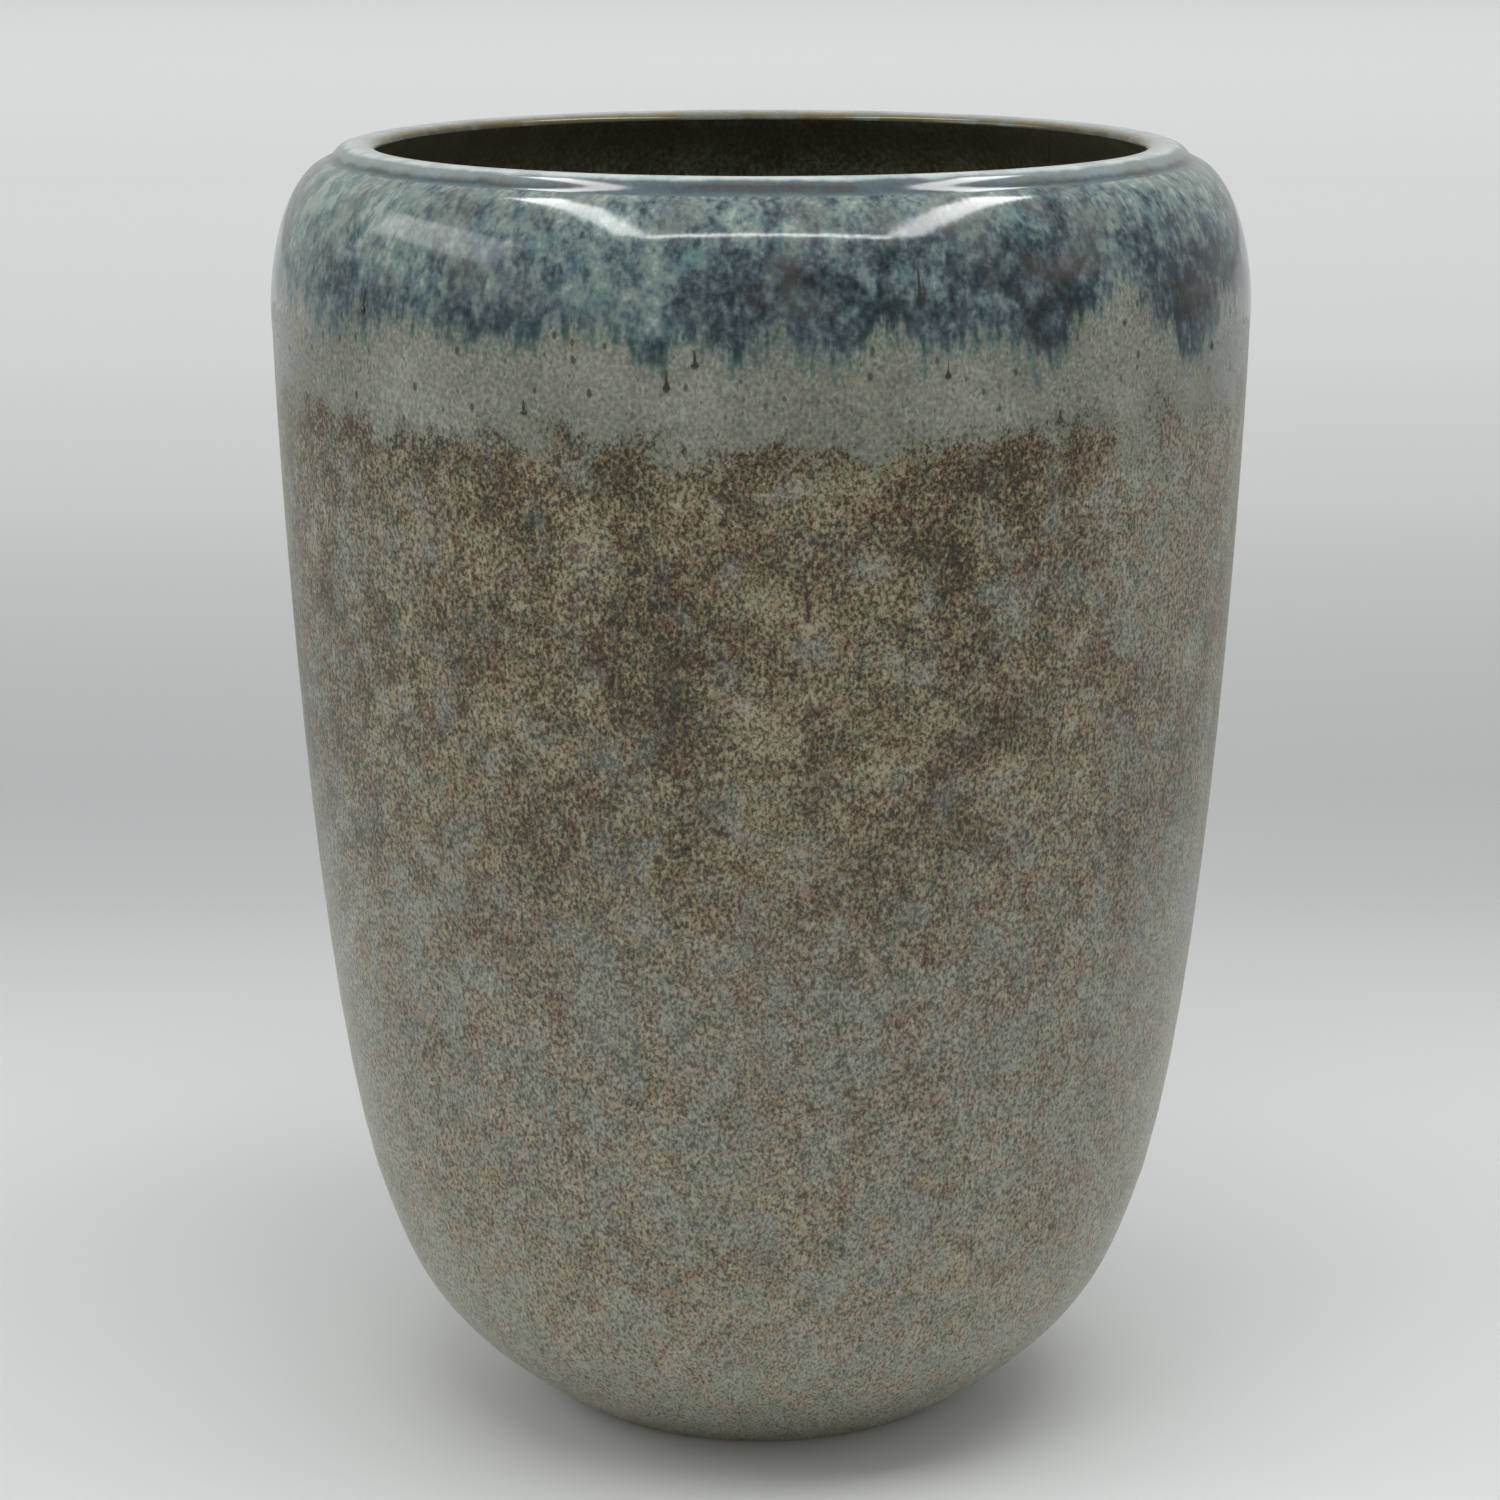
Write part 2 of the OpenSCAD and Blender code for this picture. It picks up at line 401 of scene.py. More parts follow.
def plain_glaze(look, flow):
    """The smooth olive-grey zone under the band: fine grain and scattered iron specks with short tails."""
    grain = look.field(flow, 0.8, stretch=1.3, seed=3.1, detail=1)
    drift = look.field(flow, 22, stretch=1.5, seed=9.4, detail=4, roughness=0.6)
    tone = look.total((grain, 0.75), (drift, 0.45), -0.1)
    colour = look.palette(tone, (0.3, "#595d53"), (0.5, "#777b70"), (0.7, "#959a8f"))
    warm = look.remap(look.field(flow, 2.6, seed=8.2, detail=2), 0.42, 0.62, 0.0, 0.3)
    colour = look.blend(warm, colour, "#85796a")
    for size, seed, share in ((1.7, 5.0, 0.6), (3.4, 6.3, 0.85)):
        specks = look.specks(flow, size, (0.22, 0.12), (0.55, 0.58), stretch=1.7, seed=seed)
        colour = look.blend(look.math("MULTIPLY", specks, share), colour, "#38352a")
    return colour


# How deep the band's colour is: (metres along the outline from the CAD band's foot, depth)
BAND_DEPTH = [(-0.01, 0.55), (0.012, 0.65), (0.024, 0.82), (0.033, 0.65), (0.042, 0.28), (0.052, 0.35)]


def band_glaze_look():
    """Blue-green glaze: cottony turquoise and slate over grey, running down into ragged streaks."""
    look = Look("blue_green_glaze")
    flow = look.attribute("flow", "Vector")
    above_edge = look.attribute("above_edge")
    pool = look.attribute("pool")
    level = look.axis(flow, 2)
    plain = plain_glaze(look, flow)

    cotton = look.field(flow, 4.6, stretch=1.15, seed=2.0, detail=4, roughness=0.66)
    streak = look.field(flow, 3.2, stretch=3.2, seed=7.0, detail=3, roughness=0.62)
    fleck = look.field(flow, 1.3, stretch=1.3, seed=2.7, detail=1)
    cloud = look.field(flow, 30, seed=1.0, detail=2)
    tips = look.remap(above_edge, 15 * MM, 2 * MM)
    blotch = look.blend(tips, cotton, streak)
    by_height = look.profile(level, *BAND_DEPTH)
    depth = look.total((blotch, 1.85), (fleck, 0.65), (cloud, 0.5), (pool, 0.22), (by_height, 0.45), -1.34)
    colour = look.palette(
        depth,
        (0.0, "#8d9a93"),
        (0.12, "#76847c"),
        (0.26, "#6b7b77"),
        (0.44, "#536164"),
        (0.6, "#3c494e"),
        (0.78, "#293235"),
        (0.95, "#1b2123"),
    )
    teal = look.remap(look.field(flow, 6, seed=14.0, detail=3), 0.5, 0.66, 0.0, 0.45)
    colour = look.blend(teal, colour, "#3f8793", "SOFT_LIGHT")
    purple = look.remap(look.field(flow, 15, seed=12.0, detail=3), 0.48, 0.64)
    purple = look.math("MULTIPLY", purple, look.remap(above_edge, 5 * MM, 18 * MM, 0.0, 0.7))
    colour = look.blend(purple, colour, look.blend(0.5, colour, "#645c57"))
    green = look.math("MULTIPLY", look.remap(above_edge, 9 * MM, 0.0), 0.35)
    colour = look.blend(green, colour, "#5f8a7c")

    reach = look.total((streak, 0.022), (fleck, 0.007), -0.0145)
    shown = look.remap(look.math("ADD", above_edge, reach), 0.0005, 0.0085)
    colour = look.blend(shown, plain, colour)
    look.set(Base_Color=colour, Roughness=0.12, IOR=1.52)
    ripple = look.field(flow, 3.0, stretch=1.4, seed=6.0, detail=2)
    look.set(Normal=look.bump(ripple, 0.25, 0.0001))
    return look.material


def wall_glaze_look():
    """Satin grey glaze crowded with fine brown and cream mottling, with clearer grey-blue patches."""
    look = Look("mottled_glaze")
    flow = look.attribute("flow", "Vector")
    level = look.axis(flow, 2)
    plain = plain_glaze(look, flow)
    rust = look.attribute("rust")

    fine = look.field(flow, 0.85, stretch=1.25, seed=11.0, detail=2, roughness=0.75)
    medium = look.field(flow, 3.0, stretch=1.2, seed=13.0, detail=2, roughness=0.6)
    patch = look.field(flow, 15, seed=17.0, detail=4, roughness=0.62)
    cloud = look.field(flow, 60, seed=19.0, detail=2)
    broad = look.total((patch, 0.9), (cloud, 0.4), -0.65)
    broad = look.math("MULTIPLY", broad, look.remap(rust, 0.4, 1.0, 0.3, 1.0))
    # painted light: the tone is lifted towards the foot, standing in for light bounced up from the floor
    painted_floor_bounce = look.remap(level, -0.14, -0.21, 0.0, 0.11)
    tone = look.total((fine, 1.95), (medium, 0.4), (broad, 1.0), (painted_floor_bounce, 1.0), -0.675)
    brown = look.palette(tone, (0.15, "#2e2415"), (0.38, "#4b402a"), (0.56, "#71664b"), (0.85, "#9f9b81"))
    grey = look.palette(
        tone, (0.15, "#48402e"), (0.38, "#6b624e"), (0.56, "#8c8672"), (0.85, "#aca893"), (1.0, "#bab6a0")
    )
    mottle = look.blend(look.remap(rust, 0.2, 1.0), grey, brown)
    tint = look.field(flow, 7, seed=23.0, detail=3)
    mottle = look.blend(look.remap(tint, 0.54, 0.7, 0.0, 0.4), mottle, "#8a5c50", "SOFT_LIGHT")
    mottle = look.blend(look.remap(tint, 0.46, 0.3, 0.0, 0.4), mottle, "#5a7d6c", "SOFT_LIGHT")
    flush = look.field(flow, 2.8, stretch=1.2, seed=27.0, detail=2)
    mottle = look.blend(look.remap(flush, 0.52, 0.68, 0.0, 0.5), mottle, "#94624f", "SOFT_LIGHT")
    mottle = look.blend(look.remap(flush, 0.48, 0.34, 0.0, 0.5), mottle, "#5f7f88", "SOFT_LIGHT")
    greyer = look.total((look.field(flow, 11, seed=29.0, detail=5, roughness=0.7), 1.0), (rust, -0.12))
    clear = look.remap(greyer, 0.38, 0.56, 0.0, 0.55)
    mottle = look.blend(clear, mottle, look.palette(tone, (0.3, "#656963"), (0.8, "#9a9f97")))
    specks = look.specks(flow, 2.6, (0.24, 0.12), (0.4, 0.45), stretch=1.6, seed=31.0)
    mottle = look.blend(look.math("MULTIPLY", specks, 0.6), mottle, "#332b1c")

    ragged = look.total(level, (patch, 0.03), (fine, 0.014), -0.0215)
    covered = look.math("MULTIPLY", look.remap(ragged, 0.002, -0.006), look.remap(rust, 0.0, 0.3, 0.4, 1.0))
    colour = look.blend(covered, plain, mottle)
    look.set(Base_Color=colour, Roughness=look.remap(fine, 0.3, 0.7, 0.24, 0.34), IOR=1.5)
    look.set(Normal=look.bump(fine, 0.3, 0.00008))
    return look.material


def lip_glaze_look():
    """Glaze drawn thin over the lip: pale on the crest, with a painted highlight along the crest's outer
    side, breaking to olive brown on both edges.
    """
    look = Look("lip_glaze")
    flow = look.attribute("flow", "Vector")
    along = look.attribute("along")
    drawn = look.attribute("drawn")
    loose = look.remap(along, 0.75, 0.85, 0.2, 0.06)
    wander = look.math("SUBTRACT", look.field(flow, 9, seed=41.0, detail=3), 0.5)
    where = look.math("ADD", along, look.math("MULTIPLY", wander, loose))
    # the stops at 0.37 and 0.46, on the crest's outer side, are lighter than the crest's own pale glaze at
    # 0.74: a painted highlight along the lip
    colour = look.palette(
        where,
        (0.0, "#6f7f7c"),
        (0.1, "#4f5b60"),
        (0.2, "#58544f"),
        (0.3, "#667478"),
        (0.37, "#b7c1c1"),
        (0.46, "#ccd2ce"),
        (0.74, "#b7beb8"),
        (0.85, "#938c6c"),
        (0.93, "#6b6242"),
        (1.0, "#3f3c28"),
    )
    patch = look.field(flow, 11, seed=43.0, detail=3)
    collar = look.remap(where, 0.4, 0.28)
    slate = look.math("MULTIPLY", look.remap(patch, 0.44, 0.6), look.math("MULTIPLY", collar, 0.7))
    colour = look.blend(slate, colour, "#36454d")
    rusty = look.math("MULTIPLY", look.remap(patch, 0.42, 0.3), look.math("MULTIPLY", collar, 0.5))
    colour = look.blend(rusty, colour, "#5c5145")
    slope = look.math("MULTIPLY", collar, look.remap(where, 0.1, 0.22, 0.0, 0.85))
    pale = look.math("MULTIPLY", look.remap(drawn, 0.9, 0.1), slope)
    colour = look.blend(pale, colour, look.palette(patch, (0.35, "#8c9895"), (0.65, "#a3aaa6")))
    crest = look.math("MULTIPLY", look.remap(patch, 0.46, 0.62), 0.3)
    colour = look.blend(crest, colour, "#7f98a0")
    fine = look.field(flow, 0.9, seed=45.0, detail=1)
    colour = look.blend(0.5, colour, look.palette(fine, (0.3, "#6f6f6f"), (0.7, "#909090")), "OVERLAY")
    look.set(Base_Color=colour, Roughness=0.13, IOR=1.52)
    look.set(Normal=look.bump(look.field(flow, 4, seed=47.0), 0.2, 0.0001))
    return look.material


def liner_glaze_look():
    """Dark olive lining glaze with fine brown and green specks, with painted shade under the lip."""
    look = Look("liner_glaze")
    flow = look.attribute("flow", "Vector")
    fine = look.field(flow, 1.1, stretch=1.5, seed=51.0, detail=2, roughness=0.65)
    patch = look.field(flow, 16, stretch=1.6, seed=53.0, detail=3)
    tone = look.total((fine, 1.3), (patch, 0.6), -0.45)
    colour = look.palette(tone, (0.2, "#3a3722"), (0.5, "#7e7e6a"), (0.8, "#b9b9a4"))
    # painted shade: the lining is darkened towards the mouth, where the lip's overhang shades the inner wall
    painted_lip_shade = look.remap(look.axis(flow, 2), -40 * MM, -4 * MM, 0.0, 0.88)
    colour = look.blend(painted_lip_shade, colour, "#1f1f0c")
    specks = look.specks(flow, 3.6, (0.24, 0.12), (0.5, 0.55), stretch=1.3, seed=55.0)
    colour = look.blend(look.math("MULTIPLY", specks, 0.7), colour, "#4d3a22")
    look.set(Base_Color=colour, Roughness=0.3, IOR=1.5)
    look.set(Normal=look.bump(fine, 0.3, 0.0001))
    return look.material


def underside_glaze_look():
    """Thin brown glaze in the hollow of the foot."""
    look = Look("underside_glaze")
    flow = look.attribute("flow", "Vector")
    patch = look.field(flow, 12, seed=61.0, detail=4, roughness=0.6)
    fine = look.field(flow, 0.9, seed=63.0, detail=2)
    tone = look.total((patch, 0.6), (fine, 0.4))
    colour = look.palette(tone, (0.36, "#5d4f3c"), (0.5, "#74694f"), (0.62, "#8a8270"))
    look.set(Base_Color=colour, Roughness=0.36, IOR=1.5)
    look.set(Normal=look.bump(fine, 0.35, 0.0001))
    return look.material


def clay_look():
    """Bare fired stoneware: buff-brown, gritty, with iron specks."""
    look = Look("fired_clay")
    place = look.node("TexCoord").outputs["Object"]
    grit = look.field(place, 0.8, seed=71.0, detail=3, roughness=0.7)
    patch = look.field(place, 18, seed=73.0, detail=3)
    tone = look.total((grit, 0.6), (patch, 0.4))
    colour = look.palette(tone, (0.36, "#8a7154"), (0.5, "#a58c6c"), (0.64, "#bda685"))
    specks = look.specks(place, 2.6, (0.2, 0.1), (0.6, 0.65), seed=75.0)
    colour = look.blend(look.math("MULTIPLY", specks, 0.8), colour, "#3e2e20")
    look.set(Base_Color=colour, Roughness=0.85, IOR=1.45)
    look.set(Normal=look.bump(grit, 0.7, 0.00025))
    return look.material


def run_glaze_look():
    """Thick dark glaze that grows darker down the run."""
    look = Look("run_glaze")
    flow = look.attribute("flow", "Vector")
    along = look.attribute("along")
    colour = look.palette(along, (0.0, "#454740"), (0.5, "#33322a"), (1.0, "#1f1d14"))
    fine = look.field(flow, 0.7, seed=81.0, detail=2)
    colour = look.blend(look.remap(fine, 0.4, 0.7, 0.0, 0.2), colour, "#4e5343")
    look.set(Base_Color=colour, Roughness=0.1, IOR=1.55)
    return look.material


# Painted shade and light on the backdrop: it falls dark behind the pot and grows pale again: (metres behind
# its axis, paleness)
FLOOR_PAINTED_SHADE = [(0.0, 0.57), (0.2, 0.53), (0.33, 0.27), (0.45, 0.03), (0.6, 0.0), (0.85, 0.25), (1.3, 0.8),
              (1.9, 1.0), (3.2, 0.74), (6.0, 0.77)]


def floor_look():
    look = Look("pale_floor")
    place = look.node("TexCoord").outputs["Object"]
    # painted shade and light: the floor's colour darkens and pales again with distance behind the pot
    tone = look.profile(look.axis(place, 1), *FLOOR_PAINTED_SHADE)
    look.set(Base_Color=look.blend(tone, "#c3c5c5", "#f4f5f5"), Roughness=0.55, IOR=1.4)
    return look.material


# ---------------------------------------------------------------- the pot's own shape


OUTER_COATS = ("base_glaze", "shoulder_glaze", "lip_glaze")
INNER_COATS = ("liner_glaze", "underside_glaze")
faces = {}
backs = {}
for coat in OUTER_COATS + INNER_COATS:
    shorter, longer = sorted(coat_sides(coat), key=lambda points: Path(points).length)
    faces[coat], backs[coat] = (longer, shorter) if coat in OUTER_COATS else (shorter, longer)

outer = Path(faces["base_glaze"])
BAND_FOOT = faces["shoulder_glaze"][:, 1].min()
LEVEL_ZERO = outer.length_at_height(BAND_FOOT)  # the flow's third number is zero here


def relief(flow):
    """How far the glazed face lies below the CAD's face: slow unevenness and a shallow orange peel."""
    slow = rough_field(flow, 55 * MM, 3.0)
    peel = rough_field(flow, 9 * MM, 8.0)
    return -(0.07 + 0.05 * slow + 0.012 * peel) * MM


def lifted(path, s, lift):
    """Points at the lengths s along a path, moved off it by `lift`."""
    return path.at(s) + path.normal(s) * lift[..., None]


def bell(angles, middle, half_width):
    """A soft bump round the pot, 1 at its middle. The middle and half-width are in degrees."""
    away = (np.degrees(angles) - middle + 180) % 360 - 180
    return np.exp(-((away / half_width) ** 2))


def soft_spots(spots, angles, height):
    """The sum of soft-edged spots over the grid, where `height` is in millimetres."""
    total = np.zeros(height.shape)
    for middle, z, half_width, half_height, strength in spots:
        total += strength * bell(angles, middle, half_width) * np.exp(-(((height - z) / half_height) ** 2))
    return total


# How rusty the wall's mottling is: (height in millimetres, 0 for grey to 1 for brown)
RUST_BY_HEIGHT = [(0, 0.6), (12, 0.4), (28, 0.3), (45, 0.45), (62, 0.58), (90, 0.35), (125, 0.4), (155, 0.7),
                  (190, 0.9), (245, 1.0)]
# Rustier clouds, and greyer ones below zero, in millimetres and degrees:
# (direction, height, half-width, half-height, strength)
RUST_CLOUDS = [(274, 214, 24, 32, 0.25), (245, 232, 16, 14, 0.15), (300, 236, 14, 12, 0.15),
               (262, 160, 26, 22, 0.15), (321, 222, 17, 28, -0.75), (220, 224, 12, 22, -0.4),
               (5, 222, 24, 26, 0.2), (50, 210, 18, 30, -0.5), (95, 218, 28, 30, 0.25),
               (140, 206, 20, 30, -0.5), (178, 222, 20, 26, 0.2), (25, 140, 30, 26, 0.2),
               (120, 152, 30, 26, 0.2), (340, 120, 26, 22, -0.2)]


def base_coat():
    """The coat under everything outside, from the glaze line above the foot up to the lip."""
    columns, rows, back_rows = 360, 224, 34
    angles = around(columns)
    s = lengths(0, outer.length, rows, columns)
    flow = flow_grid(angles, s - LEVEL_ZERO)
    ramp_in = np.clip(s / (1.5 * MM), 0, 1)
    face = lifted(outer, s, relief(flow) * ramp_in)
    back_path = Path(backs["base_glaze"])
    back_s = lengths(back_path.length, 0, back_rows, columns)
    back = back_path.at(back_s)
    back_flow = flow_grid(angles, back_s - LEVEL_ZERO)
    sections, flows = stack_rows(face, back), stack_rows(flow, back_flow)
    height = sections[..., 1] / MM
    rust = np.interp(height, *zip(*RUST_BY_HEIGHT)) + soft_spots(RUST_CLOUDS, angles, height)
    attributes = {"flow": flows, "rust": rust}
    return turned_mesh("base_glaze_coat", sections, angles, attributes=attributes)


# Where the band's lower edge dips, or rises: (direction in degrees from +X, millimetres, half-width)
EDGE_DIPS = [(213, 5, 5), (223, 3, 3), (240, 4, 5), (259, 6, 2.5), (267, 5, 3), (277, 5, 4), (289, 6, 3),
             (301, 9, 4), (313, -6, 4), (326, 12, 6), (350, 4, 8), (8, 8, 6), (25, -5, 6), (47, 9, 7),
             (78, 4, 9), (104, 10, 6), (121, -5, 5), (139, 8, 7), (163, 5, 6), (183, 9, 6)]
# Dark pools in the band: (direction in degrees, height, half-width in degrees, half-height, strength)
POOLS = [(272, 278, 9, 9, 1.0), (281, 270, 7, 5, 0.6), (304, 272, 5, 14, 1.0), (298, 283, 6, 6, 0.7),
         (325, 270, 7, 14, 1.0), (334, 280, 7, 8, 0.6), (218, 272, 9, 6, 0.3), (242, 270, 8, 5, 0.4),
         (203, 284, 7, 4, 0.3), (234, 292, 5, 2, 0.5), (247, 288, 7, 4, 0.5), (274, 294, 7, 2, 0.6),
         (287, 289, 7, 3, 0.6), (317, 288, 10, 4, 0.5), (8, 270, 8, 12, 0.9), (30, 282, 9, 7, 0.6),
         (52, 271, 9, 10, 0.9), (80, 280, 12, 8, 0.8), (105, 270, 8, 12, 1.0), (130, 283, 9, 6, 0.6),
         (142, 270, 7, 10, 0.8), (170, 279, 12, 8, 0.8), (189, 270, 7, 10, 0.7)]
# Pale clouds between the pools, in the same form
CLOUDS = [(256, 277, 5, 7, 1.0), (287, 279, 2.5, 3, 0.9), (313, 274, 3, 8, 0.9), (228, 281, 6, 8, 0.9),
          (234, 274, 6, 6, 0.4), (210, 274, 8, 8, 0.5), (212, 288, 13, 8, 0.9), (198, 280, 7, 12, 1.0),
          (265, 293, 4, 2, 0.7), (18, 278, 5, 7, 0.8), (66, 276, 5, 7, 0.8), (93, 275, 5, 8, 0.8),
          (118, 276, 5, 7, 0.8), (155, 276, 5, 8, 0.8)]


BAND_THICKNESS = 0.3 * MM
EDGE_HEIGHT = 264.8  # millimetres, where the band's lower edge lies before its dips
EDGE_REACH = np.arange(240, 291)  # millimetres, the heights between which the edge may wander
RUN_LIFT_HEIGHT = 262 * MM  # from this height up a run is lifted to lie on the band


def shoulder_coat():
    """The band from its ragged lower edge up to the lip, thinner at both edges."""
    columns, rows, back_rows = 720, 78, 10
    angles = around(columns)
    top = outer.length
    edge_height = np.full(columns, EDGE_HEIGHT)
    for middle, depth, half_width in EDGE_DIPS:
        edge_height -= depth * bell(angles, middle, half_width)
    ring = flow_grid(angles, np.zeros((1, 1)))
    edge_height += 2.2 * rough_field(ring, 7 * MM, 21.0)[0] + 1.6 * rough_field(ring, 2.6 * MM, 33.0)[0]
    s_of_height = np.array([outer.length_at_height(z * MM) for z in EDGE_REACH])
    edge = np.maximum(np.interp(edge_height, EDGE_REACH, s_of_height), LEVEL_ZERO)

    share = np.linspace(0, 1, rows)[:, None] ** 1.25
    s = edge + (top - edge) * share
    flow = flow_grid(angles, s - LEVEL_ZERO)
    thickness = BAND_THICKNESS * (0.06 + 0.94 * (1 - np.exp(-(s - edge) / (2.5 * MM))))
    thickness *= 0.1 + 0.9 * np.clip((top - s) / (4 * MM), 0, 1)
    face = lifted(outer, s, relief(flow) + thickness)
    back_share = np.linspace(1, 0, back_rows)[:, None]
    back_s = edge + (top - edge) * back_share
    back_flow = flow_grid(angles, back_s - LEVEL_ZERO)
    back = lifted(outer, back_s, relief(back_flow) - 0.05 * MM)

    height = outer.at(s)[..., 1] / MM
    pool = soft_spots(POOLS, angles, height) - soft_spots(CLOUDS, angles, height)
    above = s - edge
    attributes = {
        "flow": stack_rows(flow, back_flow),
        "above_edge": stack_rows(above, back_s - edge),
        "pool": stack_rows(pool, np.zeros(back_s.shape)),
    }
    return turned_mesh("shoulder_glaze_coat", stack_rows(face, back), angles, attributes=attributes)


# Where the glaze has drawn off the lip's foot and shows dark: (direction, half-width) in degrees
DRAWN_COLLAR = [(272, 38), (20, 14), (72, 20), (125, 20), (168, 12)]


def lip_coat():
    """The coat over the lip, from the band to the lining."""
    columns, rows, back_rows = 720, 44, 16
    angles = around(columns)
    face_path, back_path = Path(faces["lip_glaze"]), Path(backs["lip_glaze"])
    s = lengths(0, face_path.length, rows, columns)
    flow = flow_grid(angles, s + outer.length - LEVEL_ZERO)
    swell = 0.05 * MM * (rough_field(flow, 30 * MM, 61.0) - 1)
    face = lifted(face_path, s, swell)
    back_s = lengths(back_path.length, 0, back_rows, columns)
    back_flow = flow_grid(angles, back_s + outer.length - LEVEL_ZERO)
    drawn = sum(bell(angles, middle, half_width) for middle, half_width in DRAWN_COLLAR)
    attributes = {
        "flow": stack_rows(flow, back_flow),
        "along": stack_rows(s / face_path.length, back_s / back_path.length),
        "drawn": np.broadcast_to(drawn, (rows + back_rows, columns)),
    }
    sections = stack_rows(face, back_path.at(back_s))
    return turned_mesh("lip_glaze_coat", sections, angles, attributes=attributes)


def liner_coat():
    """The lining of the wall and floor, a shell that is closed at the pot's axis."""
    columns, rows, back_rows = 300, 150, 40
    angles = around(columns)
    face_path, back_path = Path(faces["liner_glaze"]), Path(backs["liner_glaze"])
    s = lengths(0, face_path.length, rows, columns)
    flow = flow_grid(angles, s - face_path.length)
    swell = 0.12 * MM * (rough_field(flow, 45 * MM, 71.0) - 1)
    inward = 1 if face_path.normal(np.array([face_path.length / 2]))[0, 0] < 0 else -1
    edge_fade = np.clip((face_path.length - s) / (3 * MM), 0, 1) * np.clip(s / (3 * MM), 0, 1)
    face = lifted(face_path, s, inward * swell * edge_fade)
    back_s = lengths(back_path.length, 0, back_rows, columns)
    sections = stack_rows(face, back_path.at(back_s))
    flows = stack_rows(flow, flow_grid(angles, back_s - back_path.length))
    return turned_mesh("liner_glaze_coat", sections, angles, closed=False, attributes={"flow": flows})


def sharp_points(points):
    """Where the outline turns a corner, with its ends."""
    steps = np.diff(points, axis=0)
    heading = np.unwrap(np.arctan2(steps[:, 1], steps[:, 0]))
    corners = [i + 1 for i, turn in enumerate(np.abs(np.diff(heading))) if turn > SHARP_TURN]
    return [0, *corners, len(points) - 1]


def eased_corner(before, corner, after, radius):
    """A small round in place of a corner, as five points of a quadratic curve."""
    start = corner + (before - corner) / np.linalg.norm(before - corner) * radius
    end = corner + (after - corner) / np.linalg.norm(after - corner) * radius
    t = np.linspace(0, 1, 5)[:, None]
    return (1 - t) ** 2 * start + 2 * t * (1 - t) * corner + t**2 * end


def fine_outline(points, spacing, corner_radius):
    """A section resampled smoothly between its corners, which are rounded a little."""
    marks = sharp_points(points)
    rows = []
    for a, b in zip(marks, marks[1:]):
        path = Path(points[a : b + 1])
        count = max(2, int(path.length / spacing))
        s = np.linspace(0, path.length, count + 1)
        if a != 0:
            s = s[s > corner_radius]
        if b != marks[-1]:
            s = s[s < path.length - corner_radius]
        rows.append(path.at(s))
        if b != marks[-1]:
            rows.append(eased_corner(points[b - 1], points[b], points[b + 1], corner_radius))
    return np.concatenate(rows)


def clay_body():
    """The fired clay, in one piece with its lip and foot ring."""
    points, _ = outline("stoneware_body")
    columns = 300
    angles = around(columns)
    fine = fine_outline(points, 2.2 * MM, 0.35 * MM)
    sections = np.repeat(fine[:, None], columns, axis=1)
    return turned_mesh("stoneware_clay_body", sections, angles, closed=False)


def underside_coat():
    """The disc of glaze in the hollow of the foot."""
    columns = 256
    angles = around(columns)
    points = np.concatenate([faces["underside_glaze"], backs["underside_glaze"][::-1]])
    sections = np.repeat(points[:, None], columns, axis=1)
    radius = sections[..., 0]
    from_above = np.stack([radius * np.cos(angles), radius * np.sin(angles), np.zeros_like(radius)], axis=-1)
    return turned_mesh(
        "underside_glaze_coat", sections, angles, closed=False, attributes={"flow": from_above}
    )


def run_places():
    """Each run's direction, top and foot, read from the CAD's glaze_runs."""
    places = vertices_of("glaze_runs")
    direction = np.arctan2(places[:, 1], places[:, 0])
    order = np.argsort(direction)
    gaps = np.where(np.diff(direction[order]) > math.radians(1))[0]
    for group in np.split(order, gaps + 1):
        yield direction[group].mean(), places[group, 2].max(), places[group, 2].min()


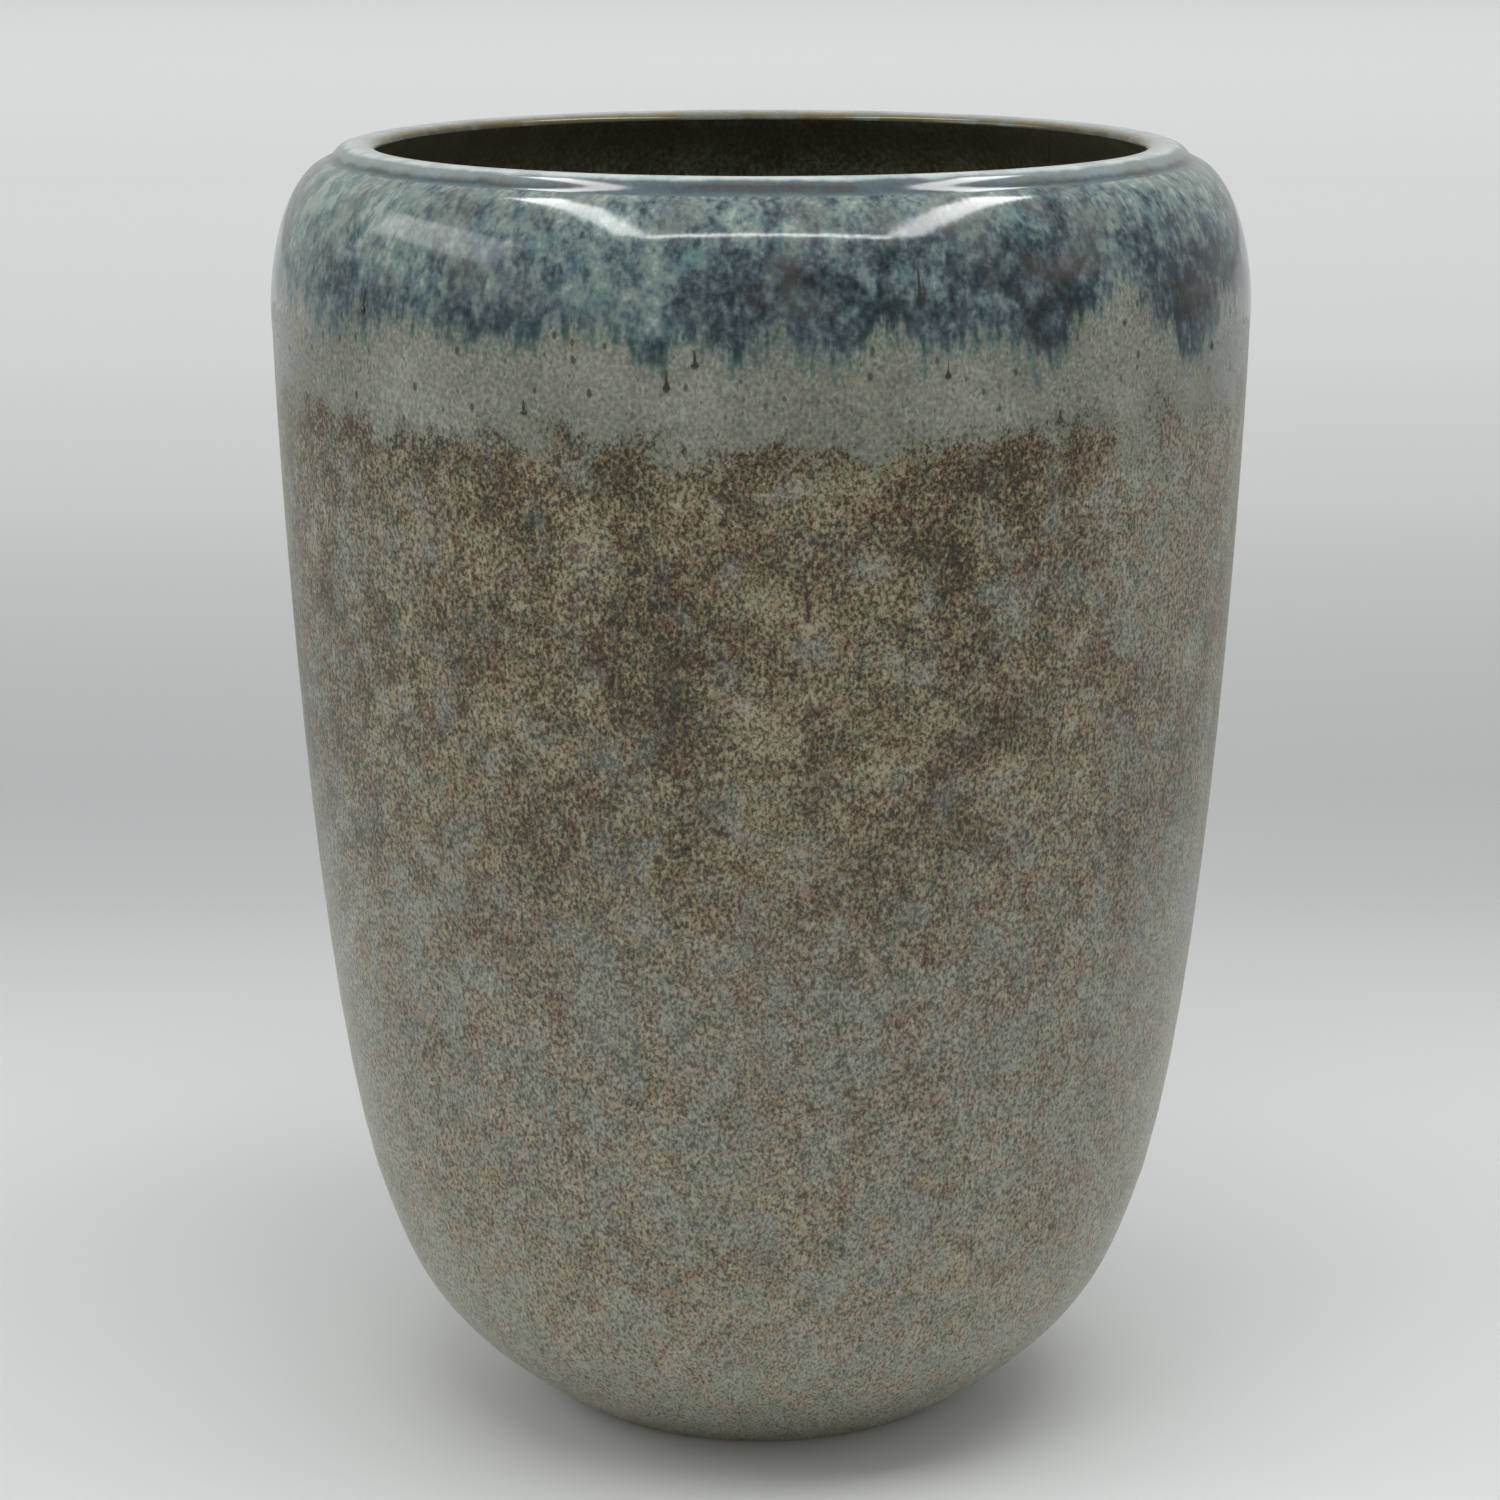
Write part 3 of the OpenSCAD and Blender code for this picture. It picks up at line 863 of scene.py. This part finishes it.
def glaze_runs():
    """Thick runs: a thin tail that swells to a round bead, lying on the glazed face."""
    rings, sides = 36, 14
    width, rise = 0.85 * MM, 0.48 * MM
    bead, bead_length, tail = 0.82, 0.16, 0.36  # the bead's middle and length, and the tail's width
    places, polygons, flows, shares = [], [], [], []
    for direction, top, foot in run_places():
        s_top, s_foot = outer.length_at_height(top), outer.length_at_height(foot)
        start = len(places)
        u = np.linspace(0, 1, rings)
        swell = tail + (1 - tail) * np.exp(-(((u - bead) / bead_length) ** 2))
        swell *= np.sqrt(1 - (2 * u - 1) ** 6)
        swell = np.maximum(swell, 0.02)
        drift = noise.noise(Vector((direction * 5, 0, 0))) * 0.5 * MM
        for i in range(rings):
            s = s_top + (s_foot - s_top) * u[i]
            centre = outer.at(np.array(s))
            out = outer.normal(np.array(s))
            on_band = np.clip((centre[1] - RUN_LIFT_HEIGHT) / (6 * MM), 0, 1)
            centre = centre + out * BAND_THICKNESS * on_band
            side = drift * math.sin(u[i] * 2.5)
            for k in range(sides):
                turn = 2 * math.pi * k / sides
                lift = rise * swell[i] * (math.sin(turn) if math.sin(turn) > 0 else 0.25 * math.sin(turn))
                r, z = centre + out * lift
                angle = direction + (side + width * swell[i] * math.cos(turn)) / r
                places.append([r * math.cos(angle), r * math.sin(angle), z])
                flows.append([angle * REFERENCE_RADIUS, 0, s - LEVEL_ZERO])
                shares.append(u[i])
        for i in range(rings - 1):
            for k in range(sides):
                a, b = start + i * sides + k, start + i * sides + (k + 1) % sides
                polygons.append([a, b, b + sides, a + sides])
        polygons.append([start + k for k in range(sides)][::-1])
        polygons.append([start + (rings - 1) * sides + k for k in range(sides)])
    mesh = bpy.data.meshes.new("glaze_runs")
    mesh.from_pydata(places, [], polygons)
    if signed_volume(mesh) < 0:
        mesh.flip_normals()
    mesh.shade_smooth()
    write_attribute(mesh, "flow", np.array(flows)[None])
    write_attribute(mesh, "along", np.array(shares))
    return add_object("glaze_run_beads", mesh)


PIECES = [
    (clay_body, clay_look, "stoneware_body", "fired_clay"),
    (base_coat, wall_glaze_look, "base_glaze", "mottled_glaze"),
    (shoulder_coat, band_glaze_look, "shoulder_glaze", "blue_green_glaze"),
    (lip_coat, lip_glaze_look, "lip_glaze", "lip_glaze"),
    (liner_coat, liner_glaze_look, "liner_glaze", "liner_glaze"),
    (underside_coat, underside_glaze_look, "underside_glaze", "underside_glaze"),
    (glaze_runs, run_glaze_look, "glaze_runs", "run_glaze"),
]
for make, finish, node, slot in PIECES:
    piece = make()
    piece.data.materials.append(finish())
    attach(piece, "root")
    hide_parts(node)


# ---------------------------------------------------------------- floor, light and camera


MID_POT = (0, 0, 0.15)
CEILING = 0.62  # the height of the strips that show as the glaze's highlights
CAMERA_PLACE = (0, -0.9245, 0.3753)
CAMERA_TILT = 13.333  # degrees below level


def floor():
    """A flat floor that reaches far past the pot on every side."""
    size = 30.0
    corners = [(-size, -size, 0), (size, -size, 0), (size, size, 0), (-size, size, 0)]
    mesh = bpy.data.meshes.new("floor")
    mesh.from_pydata(corners, [], [(0, 1, 2, 3)])
    mesh.materials.append(floor_look())
    plane = add_object("floor", mesh)
    plane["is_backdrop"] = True


def panel(name, place, size, power, aim=MID_POT):
    """A rectangular lamp, turned to face `aim`, that the camera doesn't see."""
    lamp = bpy.data.lights.new(name, "AREA")
    lamp.shape = "RECTANGLE"
    lamp.size, lamp.size_y = size
    lamp.energy = power
    thing = add_object(name, lamp)
    thing.location = place
    thing.rotation_euler = (Vector(aim) - Vector(place)).to_track_quat("-Z", "Y").to_euler()
    thing.visible_camera = False
    return thing


def strip(name, place, size, power, turn=0):
    """A ceiling strip that faces straight down, turned by so many degrees as seen from above."""
    thing = panel(name, place, size, power)
    thing.rotation_euler = (0, 0, math.radians(turn))
    return thing


def surroundings():
    """A pale grey tent, a little brighter behind the pot than in front of it."""
    world = bpy.data.worlds.new("studio")
    world.use_nodes = True
    nodes, links = world.node_tree.nodes, world.node_tree.links
    direction = nodes.new("ShaderNodeTexCoord").outputs["Generated"]
    axes = nodes.new("ShaderNodeSeparateXYZ")
    links.new(direction, axes.inputs[0])
    tent = nodes.new("ShaderNodeValToRGB")
    for element, (position, code) in zip(tent.color_ramp.elements, ((0.0, "#989a9b"), (1.0, "#bec0bf"))):
        element.position = position
        element.color = paint(code)
    shift = nodes.new("ShaderNodeMapRange")
    links.new(axes.outputs[1], shift.inputs["Value"])
    shift.inputs["From Min"].default_value = -1
    links.new(shift.outputs[0], tent.inputs[0])
    links.new(tent.outputs[0], nodes["Background"].inputs["Color"])
    bpy.context.scene.world = world


def lamps():
    """Strips that show only as highlights, panels that only light, and a window at the left."""
    strips = [
        strip("front_strip", (0.01, -0.345, CEILING), (0.42, 0.012), 0.5),
        strip("left_strip", (-0.188, -0.1, CEILING), (0.052, 0.46), 0.8, turn=-5),
        strip("right_strip", (0.208, -0.085, CEILING), (0.064, 0.49), 1.05, turn=7),
    ]
    for lamp in strips:
        lamp.visible_diffuse = False
    fill = [
        panel("ceiling", (0.1, -0.22, 0.9), (0.95, 0.4), 4.9),
        panel("far_floor", (0, 5.2, 1.8), (9, 6.4), 105, aim=(0, 5.2, 0)),
        panel("front", (0.35, -2.6, 0.9), (2.4, 1.2), 7.0),
        panel("left_side", (-2.4, 0.0, 1.1), (1.6, 1.2), 8.0),
        panel("right_side", (2.4, 0.0, 1.1), (1.6, 1.2), 4.0),
    ]
    for lamp in fill:
        lamp.visible_glossy = False
    panel("left_window", (-0.96, -0.1, 0.77), (0.8, 0.24), 1.5)


def camera():
    """In front of the pot and a little above its lip, tilted down as in the photo."""
    eye = bpy.data.cameras.new("camera")
    eye.lens = 96
    eye.sensor_width = 36
    eye.shift_x = -0.0073  # sets the pot a little right of the middle
    eye.clip_start, eye.clip_end = 0.05, 80
    thing = add_object("camera", eye)
    thing.location = CAMERA_PLACE
    thing.rotation_euler = (math.radians(90 - CAMERA_TILT), 0, 0)
    bpy.context.scene.camera = thing


floor()
surroundings()
lamps()
camera()
bpy.context.scene.view_settings.view_transform = "Standard"

boxes = {"cad": CAD_BOX, "visual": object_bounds()}
{key: [list(corner) for corner in box] for key, box in boxes.items()}
